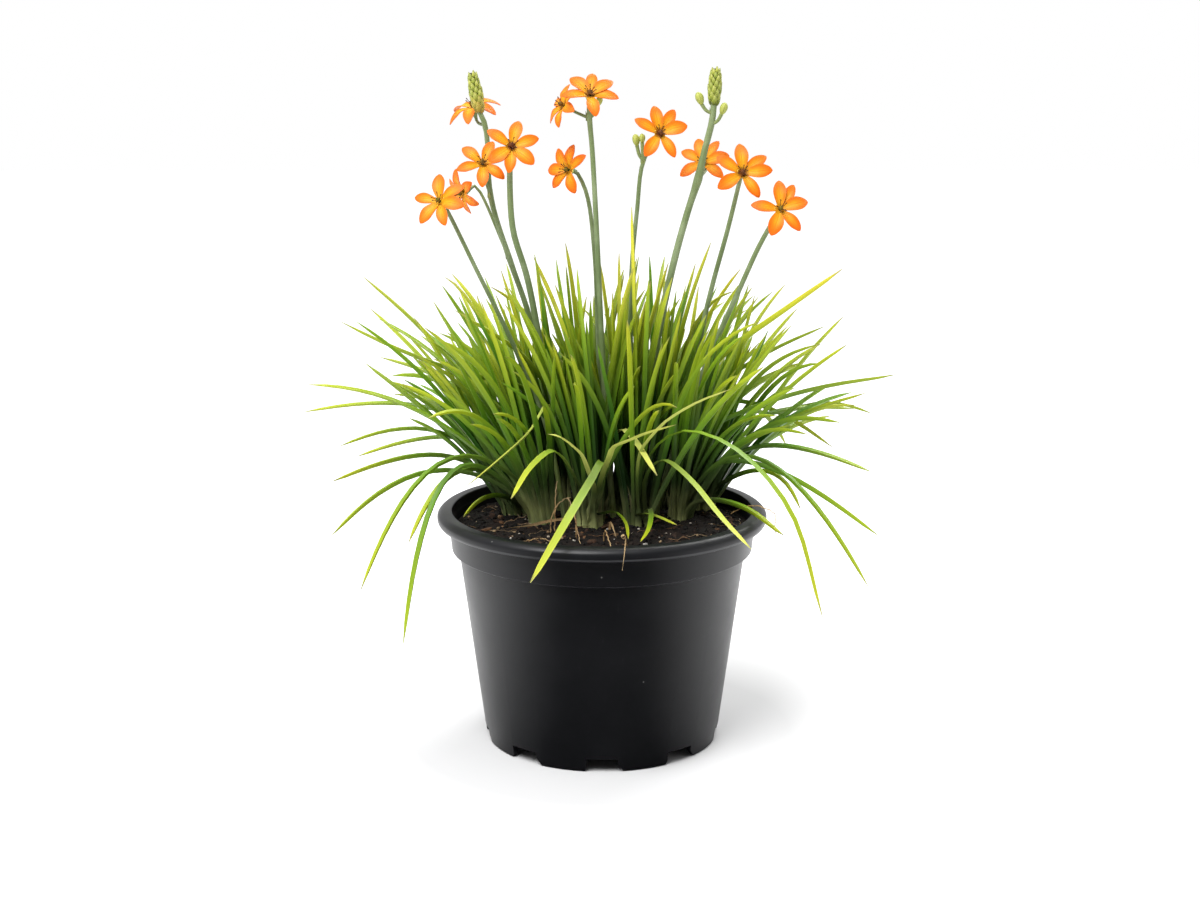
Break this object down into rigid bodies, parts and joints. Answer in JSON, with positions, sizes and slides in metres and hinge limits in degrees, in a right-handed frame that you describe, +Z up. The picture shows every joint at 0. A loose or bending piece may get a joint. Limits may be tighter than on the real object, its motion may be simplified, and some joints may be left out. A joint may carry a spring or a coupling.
{
  "type": "potted bulbine",
  "caption": "round black nursery pot of dark soil with a clump of narrow arching leaves, bare stems, orange star-shaped flowers and spikes of closed buds",
  "frame": {"origin": "centre of the pot's base, on the surface that it stands on", "axes": "+Z up; -Y is the side that the picture shows"},
  "size_m": [0.307, 0.224, 0.344],
  "materials": {
    "pot": "near-black satin moulded plastic with a faint sheen",
    "soil": "loose dark potting mix with bark crumbs and root fibres",
    "leaf": "smooth waxy green, yellower at the tips and pale at the foot",
    "stem": "smooth grey-green with a waxy bloom",
    "petal": "soft orange that turns yellow at the throat",
    "flower_heart": "matt olive and dark brown",
    "bud": "smooth yellow-green",
    "dry_leaf": "dry straw"
  },
  "bodies": {
    "root": {"pot": "pot", "soil": "soil", "stem_01": "stem", "stem_02": "stem", "stem_03": "stem", "stem_04": "stem", "stem_05": "stem", "stem_06": "stem", "stem_07": "stem", "stem_08": "stem", "stem_09": "stem", "dry_leaf_01": "dry_leaf", "dry_leaf_02": "dry_leaf", "dry_leaf_03": "dry_leaf", "tuft_01": "leaf", "tuft_02": "leaf", "tuft_03": "leaf", "tuft_04": "leaf", "tuft_05": "leaf", "tuft_06": "leaf", "tuft_07": "leaf", "tuft_08": "leaf", "tuft_09": "leaf", "tuft_10": "leaf", "tuft_11": "leaf", "tuft_12": "leaf", "flower_01": "petal", "flower_02": "petal", "flower_03": "petal", "flower_04": "petal", "flower_05": "petal", "flower_06": "petal", "flower_07": "petal", "flower_08": "petal", "flower_09": "petal", "flower_10": "petal", "flower_11": "petal", "flower_12": "petal", "flower_heart_01": "flower_heart", "flower_heart_02": "flower_heart", "flower_heart_03": "flower_heart", "flower_heart_04": "flower_heart", "flower_heart_05": "flower_heart", "flower_heart_06": "flower_heart", "flower_heart_07": "flower_heart", "flower_heart_08": "flower_heart", "flower_heart_09": "flower_heart", "flower_heart_10": "flower_heart", "flower_heart_11": "flower_heart", "flower_heart_12": "flower_heart", "bud_spike_01": "bud", "bud_spike_02": "bud"}
  },
  "joints": []
}
